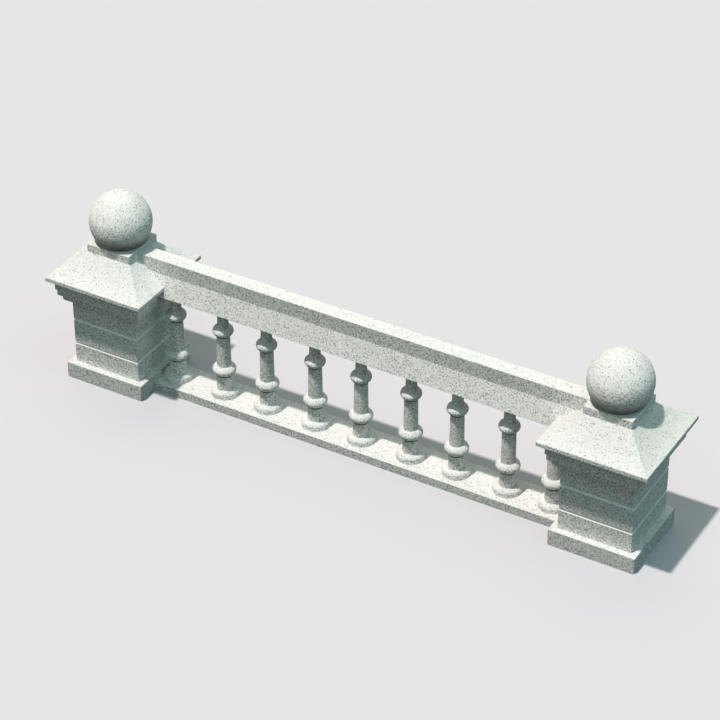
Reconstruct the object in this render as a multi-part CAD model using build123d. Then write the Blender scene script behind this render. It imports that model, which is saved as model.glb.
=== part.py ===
from build123d import *
import os

# A granite balustrade: two square piers with ball finials, and one bay of
# turned balusters between a kerb and a handrail. Millimetres, Z up, X along
# the rail, origin on the ground midway between the piers.

# Layout
pier_spacing = 3594.0      # between the centres of the two piers
left_clearance = 11.0      # from the left plinth to the first baluster's base
right_clearance = 15.0
# Nine balusters, set in pairs: the gaps between their centres, left to right.
# The row is stretched or shortened as a whole to fill the bay.
wide_gap = 365.0
narrow_gap = 332.0
middle_gap = 341.0
last_gap = 321.0
gaps = (wide_gap, narrow_gap, wide_gap, middle_gap,
        wide_gap, narrow_gap, wide_gap, last_gap)

# Pier: stones from the ground up, each projecting past the one named
die_width = 500.0
plinth_height = 118.0
plinth_projection = 45.0   # past the shaft of the pier
lower_die_height = 148.5
middle_die_height = 185.0
upper_die_height = 162.5
joint_chamfer = 8.0        # on both stones at a joint of the shaft, so it shows as a groove
neck_projection = 43.5     # past the shaft
neck_height = 46.0
neck_round = 10.0          # lower arris of the neck course
bed_projection = 25.0      # past the neck course
bed_height = 44.0
bed_round = 5.0            # lower arris of the bed course
arris = 2.5                # small rounding that every exposed edge has

# Cap stone
drip_projection = 8.5      # past the bed course
drip_height = 74.0
eave_projection = 42.0     # past the drip
eave_height = 29.5
slope_height = 157.5
slope_hollow = 12.0        # how far the slope is hollowed at its middle

# Block and ball
block_width = 328.0
block_height = 56.0
ball_radius = 208.0
seat_margin = 12.5         # ledge of the block left beside the ball's flat

# Kerb and handrail
kerb_width = 271.0
kerb_height = 64.0
rail_rise = 27.0           # underside of the rail above the underside of the cap
rail_bottom_width = 189.0
rail_splay_height = 156.0
rail_top_width = 107.0
rail_upright_height = 107.0

# Baluster, radii and heights above the kerb
base_radius = 96.0
base_height = 48.0
base_round = 20.0
shank_radius = 55.0
lower_ring_height = 194.0  # middle of the ring above the kerb
lower_ring_radius = 79.5
lower_ring_round = 34.0    # the rings are half-round beads
upper_ring_height = 498.0
upper_ring_radius = 70.0
upper_ring_round = 32.0
shaft_bottom_radius = 48.5
shaft_top_radius = 45.5
neck_bottom_radius = 38.0
neck_top_radius = 34.5
quirk_depth = 8.0          # a square groove turned into the shaft under each ring
quirk_height = 9.0

# Widths and levels that follow from the sizes above
plinth_width = die_width + 2 * plinth_projection
neck_width = die_width + 2 * neck_projection
bed_width = neck_width + 2 * bed_projection
drip_width = bed_width + 2 * drip_projection
eave_width = drip_width + 2 * eave_projection
middle_die_bottom = plinth_height + lower_die_height
upper_die_bottom = middle_die_bottom + middle_die_height
neck_bottom = upper_die_bottom + upper_die_height
bed_bottom = neck_bottom + neck_height
cap_bottom = bed_bottom + bed_height
eave_bottom = cap_bottom + drip_height
slope_bottom = eave_bottom + eave_height
block_bottom = slope_bottom + slope_height
ball_seat = block_bottom + block_height
rail_underside = cap_bottom + rail_rise
baluster_height = rail_underside - kerb_height


def square_block(width, height, bottom):
    """A square stone standing at the pier's centre line."""
    stone = Box(width, width, height, align=(Align.CENTER, Align.CENTER, Align.MIN))
    return Pos(0, 0, bottom) * stone


def horizontal_edges(stone, level):
    """The edges of a stone that lie flat at one level."""
    flat = stone.edges().filter_by(Plane.XY)
    return flat.filter_by_position(Axis.Z, level - 0.01, level + 0.01)


def upright_edges(stone):
    return stone.edges().filter_by(Axis.Z)


def die_course(height, bottom, joint_below, joint_above):
    """One course of the pier's shaft, chamfered where it meets the next course."""
    stone = square_block(die_width, height, bottom)
    if joint_below:
        stone = chamfer(horizontal_edges(stone, bottom), joint_chamfer)
    if joint_above:
        stone = chamfer(horizontal_edges(stone, bottom + height), joint_chamfer)
    rounded = extrude(RectangleRounded(die_width, die_width, arris), height)
    return stone & Pos(0, 0, bottom) * rounded


def stepped_course(width, height, bottom, lower_round):
    """A square moulding course with its lower edge rounded."""
    stone = square_block(width, height, bottom)
    stone = fillet(upright_edges(stone), arris)
    return fillet(horizontal_edges(stone, bottom), lower_round)


def plinth_stone():
    stone = square_block(plinth_width, plinth_height, 0)
    stone = fillet(upright_edges(stone), arris)
    return fillet(horizontal_edges(stone, plinth_height), arris)


def cap_stone(edge_round):
    """The cap: the same side profile runs along both directions, so it is hipped."""
    drip, eave, top = drip_width / 2, eave_width / 2, block_width / 2
    run, rise = eave - top, slope_height
    length = (run**2 + rise**2) ** 0.5
    middle = (
        (eave + top) / 2 - slope_hollow * rise / length,
        slope_bottom + rise / 2 - slope_hollow * run / length,
    )
    sides = []
    for side in (1, -1):
        lower = Polyline(
            (0, cap_bottom),
            (side * drip, cap_bottom),
            (side * drip, eave_bottom),
            (side * eave, eave_bottom),
            (side * eave, slope_bottom),
        )
        slope = ThreePointArc(
            (side * eave, slope_bottom),
            (side * middle[0], middle[1]),
            (side * top, block_bottom),
        )
        flat = Line((side * top, block_bottom), (0, block_bottom))
        sides += [lower, slope, flat]
    outline = make_face(Wire(Curve() + sides))
    if edge_round:
        corners = [v for v in outline.vertices() if abs(abs(v.X) - eave) < 0.01]
        outline = fillet(corners, edge_round)
    along = extrude(Plane.XZ * outline, eave, both=True)
    across = extrude(Plane.YZ * outline, eave, both=True)
    return along & across


def ball_block():
    stone = square_block(block_width, block_height, block_bottom)
    stone = fillet(upright_edges(stone), arris)
    return fillet(horizontal_edges(stone, ball_seat), arris)


def ball():
    """A ball with its underside cut flat where it is bedded on the block."""
    flat_radius = block_width / 2 - seat_margin
    centre_rise = (ball_radius**2 - flat_radius**2) ** 0.5
    whole = Pos(0, 0, ball_seat + centre_rise) * Sphere(ball_radius)
    below = Box(3 * ball_radius, 3 * ball_radius, 2 * ball_radius,
                align=(Align.CENTER, Align.CENTER, Align.MAX))
    return whole - Pos(0, 0, ball_seat) * below


def kerb():
    length = pier_spacing - plinth_width
    stone = Box(length, kerb_width, kerb_height, align=(Align.CENTER, Align.CENTER, Align.MIN))
    upper = stone.edges().filter_by(Axis.X).group_by(Axis.Z)[-1]
    return fillet(upper, arris)


def handrail():
    """The rail runs from block to block and is cut to the two caps it crosses."""
    upright_bottom = rail_underside + rail_splay_height
    rail_top = upright_bottom + rail_upright_height
    half_bottom, half_top = rail_bottom_width / 2, rail_top_width / 2
    section = make_face(Polyline(
        (-half_bottom, rail_underside),
        (half_bottom, rail_underside),
        (half_top, upright_bottom),
        (half_top, rail_top),
        (-half_top, rail_top),
        (-half_top, upright_bottom),
        close=True,
    ))
    top_corners = section.vertices().group_by(Axis.Y)[-1]
    section = fillet(top_corners, arris)
    rail = extrude(Plane.YZ * section, (pier_spacing - block_width) / 2, both=True)
    sharp_cap = cap_stone(0)
    for side in (-1, 1):
        rail = rail - Pos(side * pier_spacing / 2, 0, 0) * sharp_cap
    return rail


def baluster():
    """A turned baluster: its outline is revolved about its own axis."""
    shoulder = base_height - base_round
    base_flat = base_radius - base_round
    outline = [
        Polyline((0, 0), (base_radius, 0), (base_radius, shoulder)),
        RadiusArc((base_radius, shoulder), (base_flat, base_height), -base_round),
        Line((base_flat, base_height), (shank_radius, base_height)),
    ]
    start = (shank_radius, base_height)
    rings = (
        (lower_ring_height, lower_ring_radius, lower_ring_round,
         shank_radius, shaft_bottom_radius),
        (upper_ring_height, upper_ring_radius, upper_ring_round,
         shaft_top_radius, neck_bottom_radius),
    )
    for level, ring_radius, ring_round, radius_below, radius_above in rings:
        quirk_radius = radius_below - quirk_depth
        bead_centre = ring_radius - ring_round
        drop = (ring_round**2 - (quirk_radius - bead_centre) ** 2) ** 0.5
        rise = (ring_round**2 - (radius_above - bead_centre) ** 2) ** 0.5
        bottom, top = (quirk_radius, level - drop), (radius_above, level + rise)
        lip = bottom[1] - quirk_height
        outline.append(Polyline(start, (radius_below, lip), (quirk_radius, lip), bottom))
        outline.append(ThreePointArc(bottom, (ring_radius, level), top))
        start = top
    outline.append(Polyline(start, (neck_top_radius, baluster_height),
                            (0, baluster_height), (0, 0)))
    return revolve(Plane.XZ * make_face(Wire(Curve() + outline)), Axis.Z)


def baluster_places():
    """Where the balusters stand along the rail."""
    plinth_face = (pier_spacing - plinth_width) / 2
    first = left_clearance + base_radius - plinth_face
    last = plinth_face - right_clearance - base_radius
    stretch = (last - first) / sum(gaps)
    places = [first]
    for gap in gaps:
        places.append(places[-1] + gap * stretch)
    return places


pier = {
    "plinth": plinth_stone(),
    "lower_die": die_course(lower_die_height, plinth_height, False, True),
    "middle_die": die_course(middle_die_height, middle_die_bottom, True, True),
    "upper_die": die_course(upper_die_height, upper_die_bottom, True, False),
    "neck_course": stepped_course(neck_width, neck_height, neck_bottom, neck_round),
    "bed_course": stepped_course(bed_width, bed_height, bed_bottom, bed_round),
    "cap": cap_stone(arris),
    "block": ball_block(),
    "ball": ball(),
}

pieces = {"bottom_rail": kerb(), "handrail": handrail()}
for side_name, side in (("left", -1), ("right", 1)):
    for stone_name, stone in pier.items():
        pieces[f"{side_name}_{stone_name}"] = Pos(side * pier_spacing / 2, 0, 0) * stone
turned = baluster()
for number, place in enumerate(baluster_places(), 1):
    pieces[f"baluster_{number}"] = Pos(place, 0, kerb_height) * turned

os.makedirs("parts", exist_ok=True)
for name, piece in pieces.items():
    export_step(piece, f"parts/{name}.step")
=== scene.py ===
# %% [markdown]
# # A granite balustrade
# This lesson dresses a finished construction model: two square piers with ball
# finials, and a bay of turned balusters between a kerb and a handrail. The
# construction model gives every stone its true place and size. What is added
# here is what the eye reads as stone: arrises that are slightly rounded and
# worn, faces that are not quite flat, the grain of granite, and the light.

# %% Load the construction model
import math

import bmesh
import bpy
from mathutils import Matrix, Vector, noise


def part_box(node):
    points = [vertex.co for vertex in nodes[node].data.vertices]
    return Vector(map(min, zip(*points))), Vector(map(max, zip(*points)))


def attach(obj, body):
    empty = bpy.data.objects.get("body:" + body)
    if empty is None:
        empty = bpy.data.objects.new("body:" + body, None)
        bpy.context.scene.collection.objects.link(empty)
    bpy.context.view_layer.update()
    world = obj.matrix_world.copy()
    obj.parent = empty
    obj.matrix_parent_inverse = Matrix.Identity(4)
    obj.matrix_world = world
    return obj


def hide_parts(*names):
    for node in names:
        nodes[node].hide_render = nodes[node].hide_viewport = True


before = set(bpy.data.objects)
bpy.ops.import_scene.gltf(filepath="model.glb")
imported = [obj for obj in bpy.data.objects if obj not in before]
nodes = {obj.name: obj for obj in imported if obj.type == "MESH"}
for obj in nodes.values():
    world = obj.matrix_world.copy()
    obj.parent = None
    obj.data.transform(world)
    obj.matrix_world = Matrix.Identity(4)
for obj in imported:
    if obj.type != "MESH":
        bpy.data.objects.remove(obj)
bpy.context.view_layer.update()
print("stones in the model:", len(nodes))

# %% [markdown]
# ## Small helpers for materials
# A Blender material is a set of connected nodes. Wiring them by hand takes
# three lines a node, so one helper adds a node, sets it and connects it. Three
# more make what is wired most often: a sum, a share that rises from nothing to
# all, and a blend of two colours.


# %% Helpers that wire shader nodes
def wire(tree, kind, inputs=None, **settings):
    """Adds a shader node. Each input is given a value or the socket that feeds it."""
    node = tree.nodes.new("ShaderNode" + kind)
    for name, value in settings.items():
        setattr(node, name, value)
    for key, value in (inputs or {}).items():
        if isinstance(value, bpy.types.NodeSocket):
            tree.links.new(value, node.inputs[key])
        else:
            node.inputs[key].default_value = value
    return node


def maths(tree, operation, *terms, clamp=False):
    """A Math node, and its result."""
    numbered = dict(enumerate(terms))
    return wire(tree, "Math", numbered, operation=operation, use_clamp=clamp).outputs[0]


def rise(tree, value, start, rate):
    """A share: none up to a start, then more with the value until it is the whole."""
    return maths(tree, "MULTIPLY", maths(tree, "SUBTRACT", value, start), rate, clamp=True)


def blend(tree, share, first, second):
    """A colour between two colours."""
    return wire(tree, "Mix", {0: share, 6: first, 7: second}, data_type="RGBA").outputs[2]


def new_group(name, inputs, outputs):
    """An empty node group with named sockets, and its two ends."""
    tree = bpy.data.node_groups.new(name, "ShaderNodeTree")
    for direction, sockets in (("INPUT", inputs), ("OUTPUT", outputs)):
        for socket, kind in sockets.items():
            tree.interface.new_socket(socket, in_out=direction, socket_type="NodeSocket" + kind)
    return tree, tree.nodes.new("NodeGroupInput").outputs, tree.nodes.new("NodeGroupOutput").inputs


print("helpers ready")

# %% [markdown]
# ## Granite
# Granite is three minerals grown into each other: white feldspar, grey glassy
# quartz and small dark flakes of mica. An image of stone would stretch and
# repeat on pieces of such different shapes. Instead the grains are grown in
# space with Voronoi cells, so every stone looks as if it was cut from a block.
# The cells of a Voronoi texture have straight sides, so the space they grow
# in is bent a little first.


# %% Mica flecks
SMALLEST = 0.3      # radius of the smallest fleck as a share of the largest
RAGGED = 0.55       # how deep the outline of a fleck is bitten, in cells
BITES = 3.0         # the bites are this many times finer than the cells
FLECK_EDGE = 12.0   # how sharply a fleck ends


def make_flecks():
    """Irregular dark flakes of one size, scattered through the stone."""
    tree, given, result = new_group(
        "mica flecks",
        {"Vector": "Vector", "Cells per metre": "Float", "Share of cells": "Float",
         "Radius in cells": "Float"},
        {"Mask": "Float"},
    )
    place, fineness = given["Vector"], given["Cells per metre"]
    cells = wire(tree, "TexVoronoi", {"Vector": place, "Scale": fineness})
    chance = wire(tree, "SeparateColor", {0: cells.outputs["Color"]}).outputs
    chosen = maths(tree, "LESS_THAN", chance[0], given["Share of cells"])
    size = maths(tree, "MULTIPLY_ADD", chance[1], 1 - SMALLEST, SMALLEST)
    radius = maths(tree, "MULTIPLY", size, given["Radius in cells"])
    bites = maths(tree, "MULTIPLY", fineness, BITES)
    ragged = wire(tree, "TexNoise", {"Vector": place, "Scale": bites, "Detail": 1.0}).outputs[0]
    outline = maths(tree, "MULTIPLY_ADD", maths(tree, "SUBTRACT", ragged, 0.5), RAGGED, radius)
    fleck = rise(tree, outline, cells.outputs["Distance"], FLECK_EDGE)
    tree.links.new(maths(tree, "MULTIPLY", fleck, chosen), result["Mask"])
    return tree


flecks = make_flecks()
print("made the group", flecks.name)


# %% Feldspar and quartz
BENDS = 360.0           # bends per metre in the space that the grains grow in
BEND = 0.0020           # and how far they move a point
GRAINS = 190.0          # grains of feldspar and quartz per metre
QUARTZ_FROM = 0.64      # this share of the grains is feldspar, and the rest quartz
PALER_SLOPES = 0.16       # this much more is feldspar on faces that lean back: painted light that makes them paler
GRAIN_EDGE = 8.0        # how sharply quartz differs from feldspar
TOP_QUARTZ_FADE = 0.5             # how much of the quartz fades on the tops, part of the light painted there
FELDSPAR = ((0.86, 0.86, 0.82, 1), (1.0, 1.0, 0.97, 1))
QUARTZ = ((0.18, 0.19, 0.19, 1), (0.54, 0.54, 0.52, 1))
# the plain colour painted on the tops, so that they read washed out by strong light
TOP_PAINT = (0.715, 0.715, 0.70, 1)
CLOUDED = (0.45, 0.46, 0.44, 1)
CLOUDS = 0.14           # how much the tone changes from place to place


def bent_space(tree, place):
    """The place, moved a little to and fro, so that the grains have no straight sides."""
    bend = wire(tree, "TexNoise", {"Vector": place, "Scale": BENDS, "Detail": 1.0}).outputs["Color"]
    shift = wire(tree, "VectorMath", {0: bend, 1: (BEND, BEND, BEND)}, operation="MULTIPLY")
    return wire(tree, "VectorMath", {0: place, 1: shift.outputs[0]}, operation="ADD").outputs[0]


def light_grains(tree, place, given, clouds):
    """Feldspar and quartz: their colour, the mask of the quartz, and a height for each grain."""
    grains = wire(tree, "TexVoronoi", {"Vector": place, "Scale": GRAINS})
    grain = wire(tree, "SeparateColor", {0: grains.outputs["Color"]}).outputs
    # Painted light: faces that lean back hold fewer quartz grains, so they read paler.
    least = maths(tree, "MULTIPLY_ADD", given["Painted light on slopes"], PALER_SLOPES, QUARTZ_FROM)
    glassy = rise(tree, grain[0], least, GRAIN_EDGE)
    # Painted light: on the tops the quartz fades and the feldspar takes one plain colour.
    quartz = maths(tree, "MULTIPLY", glassy, maths(tree, "MULTIPLY_ADD", given["Painted light on tops"], -TOP_QUARTZ_FADE, 1.0))
    milky = blend(tree, given["Painted light on tops"], blend(tree, grain[1], *FELDSPAR), TOP_PAINT)
    feldspar = blend(tree, maths(tree, "MULTIPLY", clouds, CLOUDS), milky, CLOUDED)
    return blend(tree, quartz, feldspar, blend(tree, grain[2], *QUARTZ)), quartz, grain[1]


print("grains of feldspar and quartz per metre:", GRAINS)

# %% Mica
# Cells per metre, share of the cells that hold a fleck, and radius in cells
MICA_SIZES = ((80.0, 0.26, 0.38), (180.0, 0.15, 0.50), (360.0, 0.06, 0.50))


def dark_flakes(tree, place):
    """The mask of the mica: flecks of three sizes together."""
    masks = []
    for cells, share, radius in MICA_SIZES:
        group = wire(tree, "Group", node_tree=flecks)
        tree.links.new(place, group.inputs["Vector"])
        group.inputs["Cells per metre"].default_value = cells
        group.inputs["Share of cells"].default_value = share
        group.inputs["Radius in cells"].default_value = radius
        masks.append(group.outputs["Mask"])
    return maths(tree, "MAXIMUM", maths(tree, "MAXIMUM", masks[0], masks[1]), masks[2])


print("sizes of mica:", len(MICA_SIZES))

# %% The stone itself
CLOUD_SIZE = 5.0              # clouds of tone per metre
MICA = (0.075, 0.085, 0.09, 1)
MICA_DEPTH = (0.94, 0.02)     # how dark the mica is, and how much more on the painted tops
# pale colour painted on the joints' chamfers and margins, for the light the lower chamfer catches
JOINT_PAINT = (0.97, 0.97, 0.94, 1)
JOINT_PAINT_SHARE = 0.9                  # how much of the joint's chamfers and margin takes the pale paint
# dark colour painted where shade falls: the groove under a ring and the foot of a ball
PAINTED_SHADE_COLOUR = (0.045, 0.055, 0.055, 1)
SHADE_PATCHES = (0.6, 0.5)     # the least share of the painted shade, and how much the clouds add
ROUGHNESS = 0.74
GLASSIER = 0.2                # how much smoother quartz and mica are


def make_granite():
    """Feldspar, quartz and mica, with light and shade painted in where the masks say."""
    tree, given, result = new_group(
        "granite",
        {"Vector": "Vector", "Tone": "Float", "Painted light on slopes": "Float", "Painted light on tops": "Float",
         "Painted light on joints": "Float", "Painted shade": "Float"},
        {"Color": "Color", "Roughness": "Float", "Height": "Float"},
    )
    drift = {"Vector": given["Vector"], "Scale": CLOUD_SIZE, "Detail": 4.0, "Roughness": 0.6}
    clouds = wire(tree, "TexNoise", drift).outputs[0]
    place = bent_space(tree, given["Vector"])
    ground, quartz, level = light_grains(tree, place, given, clouds)
    mica = dark_flakes(tree, place)

    toned = wire(tree, "VectorMath", {0: ground, 3: given["Tone"]}, operation="SCALE").outputs[0]
    # The mica is a little darker on the painted tops, so its flecks still show there.
    depth = maths(tree, "MULTIPLY_ADD", given["Painted light on tops"], MICA_DEPTH[1], MICA_DEPTH[0])
    speckled = blend(tree, maths(tree, "MULTIPLY", mica, depth), toned, MICA)
    # Painted light: the chamfers and margins of the shaft's joints are made pale.
    joint_painted = blend(tree, maths(tree, "MULTIPLY", given["Painted light on joints"], JOINT_PAINT_SHARE), speckled, JOINT_PAINT)
    # Painted shade: dark in the grooves and at the foot of a ball, patchy with the clouds.
    patchy = maths(tree, "MULTIPLY_ADD", clouds, SHADE_PATCHES[1], SHADE_PATCHES[0])
    painted_shade = maths(tree, "MULTIPLY", given["Painted shade"], patchy, clamp=True)
    tree.links.new(blend(tree, painted_shade, joint_painted, PAINTED_SHADE_COLOUR), result["Color"])

    smooth = maths(tree, "MAXIMUM", mica, quartz)
    tree.links.new(maths(tree, "MULTIPLY_ADD", smooth, -GLASSIER, ROUGHNESS), result["Roughness"])
    tree.links.new(maths(tree, "SUBTRACT", level, mica), result["Height"])
    return tree


granite = make_granite()
print("made the group", granite.name)


# %% [markdown]
# Light and shade are painted into the stone's face in several places. Faces that
# lean back hold fewer dark grains, so the splay of the rail reads paler: painted
# light. What looks upwards gets a plainer colour in which the grains hardly show,
# so the tops read washed out by strong light: painted light. The finish finds
# both by the direction the surface faces. The pier's shaft has chamfers along
# its joints, and they and a narrow margin beside them are painted much paler,
# with an edge that is never quite even: painted light for what the joint
# catches. The groove under a baluster's ring and the foot of a ball are painted
# dark: painted shade. The finish finds these places by their height, which is
# enough, because nothing else on those stones lies at the same level.

# %% Where the joints and grooves are, and how high the painted shade climbs a ball
JOINT = 0.008               # chamfer on each side of a joint of the shaft
MARGIN = 0.0035             # pale painted margin beside the chamfer
RINGS_AT = (0.194, 0.498)   # middle of each ring of a baluster, above the kerb
BEADS = (0.034, 0.032)      # radius of the half round that makes each ring
GROOVE = 0.009              # height of the groove under a ring
BALL_SHADE_HEIGHT = 0.13                 # height of the painted shade at the foot of a ball

joints = [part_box("left_lower_die")[1][2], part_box("left_middle_die")[1][2]]
baluster_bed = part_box("baluster_1")[0][2]
grooves = [baluster_bed + ring - bead - GROOVE / 2 for ring, bead in zip(RINGS_AT, BEADS)]
for kind, levels in (("joints", joints), ("grooves", grooves)):
    print(kind, "at", [round(level, 3) for level in levels])

# %% Mark where light and shade are painted
SLOPES_FROM = (0.05, 4.0)   # how far a face leans back before light is painted on it, and how fast it grows
TOPS_FROM = (0.30, 2.0)   # the same for the plain colour painted on the tops
MARGIN_WAVES = 90.0       # waves in the edge of the pale joint paint, per metre
UNEVEN = 0.006              # how much the edge of the margin wanders
GROOVE_LIP = 0.001          # the painted shade reaches this far past the groove
BALL_SHADE_RISE = 1.5             # over 1, so that the lowest third of a ball's painted shade is whole


def height_near(tree, height, levels, reach):
    """A mask of the surface that lies close to one of two levels."""
    lower, upper = (maths(tree, "COMPARE", height, level, reach) for level in levels)
    return maths(tree, "MAXIMUM", lower, upper)


def painted_light_and_shade_masks(tree, where, name):
    """The masks of painted light and painted shade on one stone, by the names of the inputs that they feed.
    """
    normal = wire(tree, "NewGeometry").outputs["Normal"]
    upwards = wire(tree, "SeparateXYZ", {0: normal}).outputs["Z"]
    height = wire(tree, "SeparateXYZ", {0: where}).outputs["Z"]
    # Painted light: faces that lean back are made paler, and the tops plainer.
    masks = {"Painted light on slopes": rise(tree, upwards, *SLOPES_FROM), "Painted light on tops": rise(tree, upwards, *TOPS_FROM)}
    if name.endswith("die"):
        edge_noise = wire(tree, "TexNoise", {"Vector": where, "Scale": MARGIN_WAVES, "Detail": 2.0}).outputs[0]
        uneven = maths(tree, "MULTIPLY_ADD", maths(tree, "SUBTRACT", edge_noise, 0.5), UNEVEN, height)
        # Painted light: a pale band along each joint of the shaft, with an uneven edge.
        masks["Painted light on joints"] = height_near(tree, uneven, joints, JOINT + MARGIN)
    if name.startswith("baluster"):
        # Painted shade: the groove under each ring is darkened.
        masks["Painted shade"] = height_near(tree, height, grooves, GROOVE / 2 + GROOVE_LIP)
    if name.endswith("ball"):
        # Painted shade: darker towards the foot of the ball.
        depth = maths(tree, "SUBTRACT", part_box(name)[0][2] + BALL_SHADE_HEIGHT, height)
        masks["Painted shade"] = maths(tree, "MULTIPLY", depth, BALL_SHADE_RISE / BALL_SHADE_HEIGHT, clamp=True)
    return masks


print("helpers for painted light ready")

# %% A finish for each stone
CUT_APART = (3.1, 1.7, 0.9)     # step from one stone's place in the quarry to the next one's
TONES = (0.97, 0.05)            # the darkest stone, and how much lighter the lightest is
GOLDEN = 0.618                  # steps of this spread the tones evenly
SHEEN = 0.25                    # the stone is sawn and rubbed, not polished
BUMP_STRENGTH = 0.5
BUMP_HEIGHT = 0.0010            # of the grains


def stone_finish(name, number):
    """Granite for one stone, cut from its own place and a shade lighter or darker."""
    finish = bpy.data.materials.new("granite_" + name)
    finish.use_nodes = True
    tree = finish.node_tree
    surface = tree.nodes["Principled BSDF"]
    where = wire(tree, "TexCoord").outputs["Object"]
    cut_from = tuple(step * number for step in CUT_APART)
    moved = wire(tree, "Mapping", {"Vector": where, "Location": cut_from}).outputs[0]
    group = wire(tree, "Group", node_tree=granite)
    tree.links.new(moved, group.inputs["Vector"])
    group.inputs["Tone"].default_value = TONES[0] + TONES[1] * (GOLDEN * number % 1)
    for socket, mask in painted_light_and_shade_masks(tree, where, name).items():
        tree.links.new(mask, group.inputs[socket])
    tree.links.new(group.outputs["Color"], surface.inputs["Base Color"])
    tree.links.new(group.outputs["Roughness"], surface.inputs["Roughness"])
    surface.inputs["Specular IOR Level"].default_value = SHEEN
    relief = {"Strength": BUMP_STRENGTH, "Distance": BUMP_HEIGHT, "Height": group.outputs["Height"]}
    tree.links.new(wire(tree, "Bump", relief).outputs[0], surface.inputs["Normal"])
    return finish


finishes = {name: stone_finish(name, number) for number, name in enumerate(sorted(nodes))}
print("finishes:", len(finishes))

# %% [markdown]
# ## Working the stones
# A mason never leaves a knife edge: every arris is taken off a little, and
# years of hands and frost round it further. The faces are rubbed flat by hand,
# so they wander by a fraction of a millimetre. Both are modelled. Each stone
# is raised from its bed, its edges are bevelled, it is divided into a fine
# grid, and the grid is pressed in by a soft noise that is stronger along the
# arrises. The noise only ever presses inwards, so no stone outgrows its size.


# %% Raise a stone from its bed
def raise_stone(levels):
    """A stone with four sides. Each level is a half length, a half width and a height."""
    shape = bmesh.new()
    bmesh.ops.create_grid(shape, x_segments=1, y_segments=1, size=1.0)
    bmesh.ops.scale(shape, verts=shape.verts, vec=(levels[0][0], levels[0][1], 1))
    bmesh.ops.translate(shape, verts=shape.verts, vec=(0, 0, levels[0][2]))
    bed = top = shape.faces[:][0]
    for here, above in zip(levels, levels[1:]):
        made = bmesh.ops.extrude_face_region(shape, geom=[top])["geom"]
        corners = [part for part in made if isinstance(part, bmesh.types.BMVert)]
        bmesh.ops.scale(shape, verts=corners, vec=(above[0] / here[0], above[1] / here[1], 1))
        bmesh.ops.translate(shape, verts=corners, vec=(0, 0, above[2] - here[2]))
        if top is not bed:
            bmesh.ops.delete(shape, geom=[top], context="FACES_ONLY")
        top = next(part for part in made if isinstance(part, bmesh.types.BMFace))
    bmesh.ops.recalc_face_normals(shape, faces=shape.faces)
    return shape


def raise_square(levels):
    """The same for a square stone: each level is a half width and a height."""
    return raise_stone([(width, width, height) for width, height in levels])


print("ready to raise stones")

# %% Take off the arrises and lay a fine grid over the faces
ARRIS = 0.0025      # how much is taken off an arris
ARRIS_STEPS = 2
SHARP = 40          # degrees: edges that turn more than this are arrises
GRID = 0.014        # width of the faces of the fine grid
SAME = 1e-5         # points closer than this are in one place


def take_off(shape, radius, segments, chosen):
    """Rounds the edges that the test chooses."""
    edges = [edge for edge in shape.edges if chosen(edge)]
    bmesh.ops.bevel(shape, geom=edges, offset=radius, offset_type="OFFSET", segments=segments,
                    profile=0.5, affect="EDGES", clamp_overlap=True, material=-1)


def is_sharp(edge):
    return edge.calc_face_angle(0) > math.radians(SHARP)


def ring_of(edge):
    """The edges that face each other across a band of four-sided faces, starting from one."""
    ring = [edge]
    for here in ring:
        for face in here.link_faces:
            if len(face.edges) == 4:
                far = next(e for e in face.edges if not set(e.verts) & set(here.verts))
                if far not in ring:
                    ring.append(far)
    return ring


def grid_over(shape):
    """Divides the longest edges, ring by ring, until the faces are a fine grid."""
    while True:
        longest = max(shape.edges, key=lambda edge: edge.calc_length())
        cuts = round(longest.calc_length() / GRID) - 1
        if cuts < 1:
            break
        bmesh.ops.subdivide_edges(shape, edges=ring_of(longest), cuts=cuts, use_grid_fill=True)


trial = raise_square([(0.25, 0.0), (0.25, 0.1), (0.2, 0.2)])
take_off(trial, ARRIS, ARRIS_STEPS, is_sharp)
grid_over(trial)
gaps = sum(not edge.is_manifold for edge in trial.edges)
print("a trial stone has", len(trial.faces), "faces and", gaps, "open edges")
trial.free()

# %% Wear a stone and set it in place
FACE_WEAR = 0.0003      # how far the faces are pressed in, give or take as much again
FACE_WAVES = 11         # per metre
ARRIS_WEAR = 0.0004     # how much further the arrises are
BITE = 0.0030           # depth of the bites in the arrises
BITES_FROM = 0.12       # the wear has to pass this before it bites
ARRIS_WAVES = 43
OUTWARD = 25            # degrees: an edge that turns outwards by more than this wears


def is_worn(edge):
    """An edge of an arris: it turns outwards."""
    return edge.calc_face_angle_signed(0) > math.radians(OUTWARD)


def wear(shape):
    """Presses the faces in a little, and the arrises further, in small bites."""
    shape.normal_update()
    moves = []
    for vert in shape.verts:
        press = FACE_WEAR + FACE_WEAR * noise.noise(vert.co * FACE_WAVES)
        if any(is_worn(edge) for edge in vert.link_edges):
            press += ARRIS_WEAR + BITE * max(0, noise.noise(vert.co * ARRIS_WAVES) - BITES_FROM)
        moves.append(-press * vert.normal)
    for vert, move in zip(shape.verts, moves):
        vert.co += move


def set_stone(shape, node, smooth_to, place=0.0):
    """Puts a shape in the scene as the finished stone that stands for one node of the model."""
    stone = shape.copy()
    bmesh.ops.translate(stone, verts=stone.verts, vec=(place, 0, 0))
    wear(stone)
    for face in stone.faces:
        face.smooth = True
    for edge in stone.edges:
        edge.smooth = edge.calc_face_angle(0) < math.radians(smooth_to)
    mesh = bpy.data.meshes.new(node + "_stone")
    stone.to_mesh(mesh)
    stone.free()
    piece = bpy.data.objects.new(node + "_stone", mesh)
    bpy.context.scene.collection.objects.link(piece)
    mesh.materials.append(finishes[node])
    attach(piece, "root")
    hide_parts(node)
    return piece


def size_of(node):
    """Half length, half width, underside, top and place along the rail of a node of the model."""
    low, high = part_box(node)
    return (high[0] - low[0]) / 2, (high[1] - low[1]) / 2, low[2], high[2], (high[0] + low[0]) / 2


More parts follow.
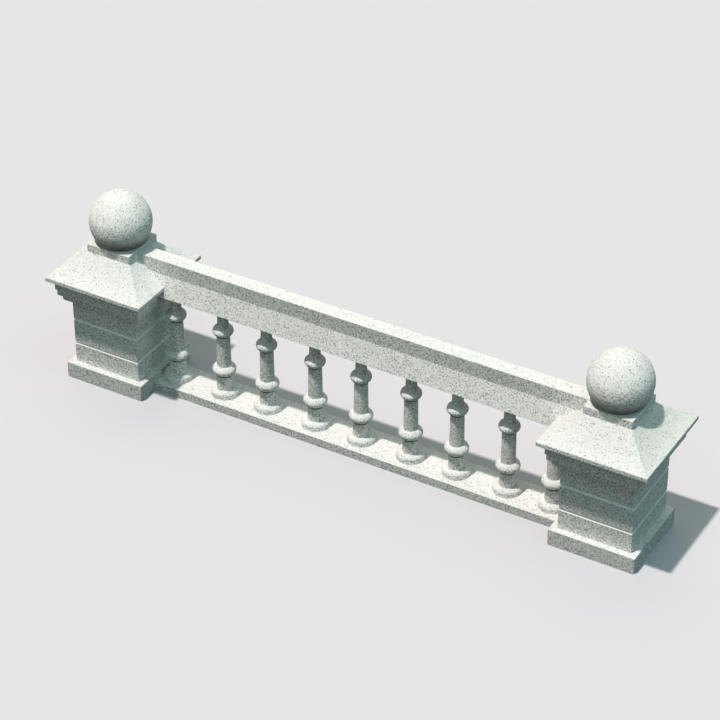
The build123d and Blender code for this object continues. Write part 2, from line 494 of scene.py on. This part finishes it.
print("the left pier stands at", round(size_of("left_plinth")[4], 3))

# %% [markdown]
# ## The pier
# The pier is a pile of square stones: a plinth, a shaft of three dies, two
# courses that step outwards, a cap with a hipped top, and a block that carries
# the ball. The stones of the shaft are chamfered on both sides of a joint, so
# the joint is a groove whose lower side catches the light. A square stone could
# be a cube that is pushed about. Raising it level by level instead keeps every
# face four-sided, which is what the grid needs.

# %% The plinth and the shaft
SQUARE_SMOOTH = 8       # degrees: the faces of a square stone look smooth up to this

pier = {}
half, _, low, high, _ = size_of("left_plinth")
pier["plinth"] = raise_square([(half, low), (half, high)])

half, _, low, high, _ = size_of("left_lower_die")
pier["lower_die"] = raise_square([(half, low), (half, high - JOINT), (half - JOINT, high)])
half, _, low, high, _ = size_of("left_middle_die")
shaft_levels = [(half - JOINT, low), (half, low + JOINT), (half, high - JOINT), (half - JOINT, high)]
pier["middle_die"] = raise_square(shaft_levels)
half, _, low, high, _ = size_of("left_upper_die")
pier["upper_die"] = raise_square([(half - JOINT, low), (half, low + JOINT), (half, high)])
print("stones so far:", list(pier))

# %% The two stepped courses
COURSE_ROUNDS = {"neck_course": 0.010, "bed_course": 0.005}     # of their lower arrises
COURSE_STEPS = 5


def lies_at(level):
    """A test for the edges that lie flat at one height."""
    return lambda edge: all(abs(vert.co.z - level) < SAME for vert in edge.verts)


for course, radius in COURSE_ROUNDS.items():
    half, _, low, high, _ = size_of("left_" + course)
    pier[course] = raise_square([(half, low), (half, high)])
    take_off(pier[course], radius, COURSE_STEPS, lies_at(low))
    print(course, "with its lower arris rounded has", len(pier[course].faces), "faces")

# %% The cap
DRIP = 0.327            # half width of the drip under the eave
DRIP_HEIGHT = 0.074
EAVE_HEIGHT = 0.0295
HOLLOW = 0.012          # how far the slope is hollowed at its middle
SLOPE_STEPS = 8

eave, _, low, high, _ = size_of("left_cap")
block = size_of("left_block")[0]
eave_bottom = low + DRIP_HEIGHT
eave_top = eave_bottom + EAVE_HEIGHT
cap_levels = [(DRIP, low), (DRIP, eave_bottom), (eave, eave_bottom), (eave, eave_top)]
run, climb = eave - block, high - eave_top
slope = math.hypot(run, climb)
for step in range(1, SLOPE_STEPS + 1):
    share = step / SLOPE_STEPS
    sag = HOLLOW * 4 * share * (1 - share)
    out = eave - run * share - sag * climb / slope
    cap_levels.append((out, high - climb * (1 - share) - sag * run / slope))
pier["cap"] = raise_square(cap_levels)

half, _, low, high, _ = size_of("left_block")
pier["block"] = raise_square([(half, low), (half, high)])
print("the slope of the cap is", round(slope, 3), "long")

# %% Finish the pier's stones and set both piers
for name, shape in pier.items():
    take_off(shape, ARRIS, ARRIS_STEPS, is_sharp)
    grid_over(shape)
    for side in ("left_", "right_"):
        stone = set_stone(shape, side + name, SQUARE_SMOOTH, size_of(side + name)[4])
    print(name, len(stone.data.polygons), "faces")

# %% [markdown]
# ## Turned work
# The ball and the balusters are turned, so they are made as a turner works:
# the outline is drawn on one side and carried round the axis. The half-round
# rings are arcs, and an arc too is drawn by carrying a point round a centre.
# The ball is cut flat underneath, where it is bedded on its block.


# %% Draw an outline
def line_to(shape, last, radius, height):
    """Draws a straight line in short steps, from the last point of the outline."""
    goal = Vector((radius, 0, height))
    steps = max(1, round((goal - last.co).length / GRID))
    start = last.co.copy()
    for step in range(1, steps + 1):
        point = shape.verts.new(start.lerp(goal, step / steps))
        shape.edges.new((last, point))
        last = point
    return last


def arc_about(shape, last, radius, height, turn, steps):
    """Carries the last point of the outline round a centre, by so many degrees, anticlockwise."""
    made = bmesh.ops.spin(shape, geom=[last], cent=(radius, 0, height), axis=(0, -1, 0),
                          angle=math.radians(turn), steps=steps)
    return made["geom_last"][0]


def turned(shape, steps):
    """Carries the outline round the upright axis and closes the solid."""
    bmesh.ops.spin(shape, geom=shape.verts[:] + shape.edges[:], cent=(0, 0, 0), axis=(0, 0, 1),
                   angle=math.radians(360), steps=steps, use_merge=True)
    bmesh.ops.remove_doubles(shape, verts=shape.verts, dist=SAME)
    bmesh.ops.recalc_face_normals(shape, faces=shape.faces)


print("ready to turn")

# %% The balls
TURNED_SMOOTH = 30      # degrees: turned work looks smooth up to this
BALL_ARC = 44           # steps from the seat to the top
BALL_ROUND = 96         # steps round the axis

radius, _, seat, top, _ = size_of("left_ball")
centre = top - radius
dip = math.asin((centre - seat) / radius)
seat_radius = radius * math.cos(dip)
ball = bmesh.new()
last = line_to(ball, ball.verts.new((0, 0, seat)), seat_radius, seat)
arc_about(ball, last, 0, centre, 90 + math.degrees(dip), BALL_ARC)
turned(ball, BALL_ROUND)
for side in ("left_", "right_"):
    stone = set_stone(ball, side + "ball", TURNED_SMOOTH, size_of(side + "ball")[4])
print("ball", len(stone.data.polygons), "faces, seat radius", round(seat_radius, 4))

# %% The balusters
BASE_HEIGHT = 0.048
BASE_ROUND = 0.020          # of the base's shoulder
SHANK = 0.055               # radius of the short stretch over the base
SHAFT = (0.0485, 0.0455)    # radii of the shaft at its foot and its top
NECK = (0.038, 0.0345)      # and of the neck
GROOVE_DEPTH = 0.008
SHOULDER_STEPS = 8
BEAD_STEPS = 18
BALUSTER_ROUND = 72         # steps round the axis
# Radius of each ring, and of the stone under it and over it
RING_SIZES = ((0.0795, SHANK, SHAFT[0]), (0.070, SHAFT[1], NECK[0]))

base, _, bed, top, _ = size_of("baluster_1")
shoulder = bed + BASE_HEIGHT - BASE_ROUND
baluster = bmesh.new()
last = line_to(baluster, baluster.verts.new((0, 0, bed)), base, bed)
last = line_to(baluster, last, base, shoulder)
last = arc_about(baluster, last, base - BASE_ROUND, shoulder, 90, SHOULDER_STEPS)
last = line_to(baluster, last, SHANK, bed + BASE_HEIGHT)
for height, bead, (ring, below, above) in zip(RINGS_AT, BEADS, RING_SIZES):
    middle = bed + height
    groove = below - GROOVE_DEPTH
    start = -math.asin(math.sqrt(bead**2 - (groove - ring + bead) ** 2) / bead)
    end = math.acos((above - ring + bead) / bead)
    underside = middle + bead * math.sin(start)
    last = line_to(baluster, last, below, underside - GROOVE)
    last = line_to(baluster, last, groove, underside - GROOVE)
    last = line_to(baluster, last, groove, underside)
    last = arc_about(baluster, last, ring - bead, middle, math.degrees(end - start), BEAD_STEPS)
last = line_to(baluster, last, NECK[1], top)
line_to(baluster, last, 0, top)
turned(baluster, BALUSTER_ROUND)
standing = [node for node in sorted(nodes) if node.startswith("baluster")]
for node in standing:
    stone = set_stone(baluster, node, TURNED_SMOOTH, size_of(node)[4])
print(len(standing), "balusters of", len(stone.data.polygons), "faces each")

# %% [markdown]
# ## Kerb and handrail
# Both are long plain stones. The kerb lies between the plinths. The handrail
# has splayed sides below and an upright top, and it runs into the two caps as
# far as the blocks, where a mason would let it in.

# %% The long stones
SPLAY_HEIGHT = 0.156
RAIL_TOP = 0.0535       # half width of the rail's upright part

half_length, half_width, low, high, _ = size_of("bottom_rail")
kerb = raise_stone([(half_length, half_width, low), (half_length, half_width, high)])

half_length, half_width, low, high, _ = size_of("handrail")
rail = raise_stone([
    (half_length, half_width, low),
    (half_length, RAIL_TOP, low + SPLAY_HEIGHT),
    (half_length, RAIL_TOP, high),
])
for shape, node in ((kerb, "bottom_rail"), (rail, "handrail")):
    take_off(shape, ARRIS, ARRIS_STEPS, is_sharp)
    grid_over(shape)
    stone = set_stone(shape, node, SQUARE_SMOOTH)
    print(node, len(stone.data.polygons), "faces")

# %% [markdown]
# ## Floor and light
# The floor is a plain pale sheet under a pale sky. Seen by the camera, or
# mirrored, both are pale; for the soft light that they throw on the stones they
# count as dark, so that they do not wash out the shade. One strong lamp stands
# high at the front left and draws the shadows. Three wide weak ones fill the
# front, the right, in a cooler tone, and the back.

# %% Floor
FLOOR_RADIUS = 80.0
FLOOR_SEGMENTS = 96
FLOOR_FOR_LIGHT = (0.03, 0.035, 0.035, 1)
FLOOR_SEEN = (0.54, 0.525, 0.56, 1)


def seen_directly(tree):
    """A mask of the rays that show a surface, straight, mirrored or through glass."""
    rays = wire(tree, "LightPath").outputs
    mirrored = maths(tree, "MAXIMUM", rays["Is Glossy Ray"], rays["Is Transmission Ray"])
    return maths(tree, "MAXIMUM", rays["Is Camera Ray"], mirrored)


floor_shape = bmesh.new()
bmesh.ops.create_circle(floor_shape, cap_ends=True, segments=FLOOR_SEGMENTS, radius=FLOOR_RADIUS)
floor_mesh = bpy.data.meshes.new("floor")
floor_shape.to_mesh(floor_mesh)
floor_shape.free()
floor = bpy.data.objects.new("floor", floor_mesh)
bpy.context.scene.collection.objects.link(floor)

paint = bpy.data.materials.new("pale_floor")
paint.use_nodes = True
paint_tree = paint.node_tree
floor_surface = paint_tree.nodes["Principled BSDF"]
floor_colour = blend(paint_tree, seen_directly(paint_tree), FLOOR_FOR_LIGHT, FLOOR_SEEN)
paint_tree.links.new(floor_colour, floor_surface.inputs["Base Color"])
floor_surface.inputs["Roughness"].default_value = 1.0
floor_surface.inputs["Specular IOR Level"].default_value = 0.0
floor_mesh.materials.append(paint)
print("the floor reaches", FLOOR_RADIUS, "metres out")

# %% Lamps
# The way each lamp shines, its strength, how wide it looks in degrees, and its colour
LAMPS = {
    "key": ((0.147, 0.250, -1.0), 3.45, 2.2, (1.0, 0.93, 0.88)),
    "front_fill": ((0.05, 0.64, -0.77), 0.50, 60, (0.73, 1.0, 0.96)),
    "right_fill": ((-0.64, -0.05, -0.77), 0.53, 60, (0.36, 0.91, 1.0)),
    "back_fill": ((0.30, -0.45, -0.84), 0.70, 60, (1.0, 0.88, 0.72)),
}

for name, (shines, strength, width, colour) in LAMPS.items():
    light = bpy.data.lights.new(name, "SUN")
    light.energy = strength
    light.angle = math.radians(width)
    light.color = colour
    lamp = bpy.data.objects.new(name, light)
    lamp.rotation_euler = Vector(shines).to_track_quat("-Z", "Y").to_euler()
    bpy.context.scene.collection.objects.link(lamp)
    print(name, "shines at strength", strength)

# %% Sky
SKY_FOR_LIGHT = (0.107, 0.130, 0.126, 1)
SKY_SEEN = (0.77, 0.77, 0.77, 1)

world = bpy.data.worlds.new("studio")
bpy.context.scene.world = world
world.use_nodes = True
sky_tree = world.node_tree
sky = sky_tree.nodes["Background"]
sky_colour = blend(sky_tree, seen_directly(sky_tree), SKY_FOR_LIGHT, SKY_SEEN)
sky_tree.links.new(sky_colour, sky.inputs["Color"])
sky.inputs["Strength"].default_value = 1.0
print("the sky is set in the world", world.name)

# %% [markdown]
# ## Camera
# A balustrade is long and low. From the front right and well above, every
# baluster shows, and each pier shows its front, one flank and its top. The
# camera stands far off with a long lens, so the far pier looks hardly smaller
# than the near one. The Standard view transform keeps the stone as pale as it
# is lit.

# %% Camera
SENSOR = 36.0       # millimetres, as is the lens
LENS = 136.35
CAMERA_AT = (7.0745, -12.254, 10.592)
CAMERA_TILT = 55    # degrees up from looking straight down
CAMERA_TURN = 30    # degrees round the upright axis
FARTHEST = 400.0

camera_data = bpy.data.cameras.new("camera")
camera_data.sensor_width = SENSOR
camera_data.lens = LENS
camera_data.clip_end = FARTHEST
camera = bpy.data.objects.new("camera", camera_data)
camera.location = CAMERA_AT
camera.rotation_euler = (math.radians(CAMERA_TILT), 0.0, math.radians(CAMERA_TURN))
bpy.context.scene.collection.objects.link(camera)
bpy.context.scene.camera = camera
bpy.context.scene.view_settings.view_transform = "Standard"
print("the camera stands", round(Vector(CAMERA_AT).length, 1), "metres from the middle")
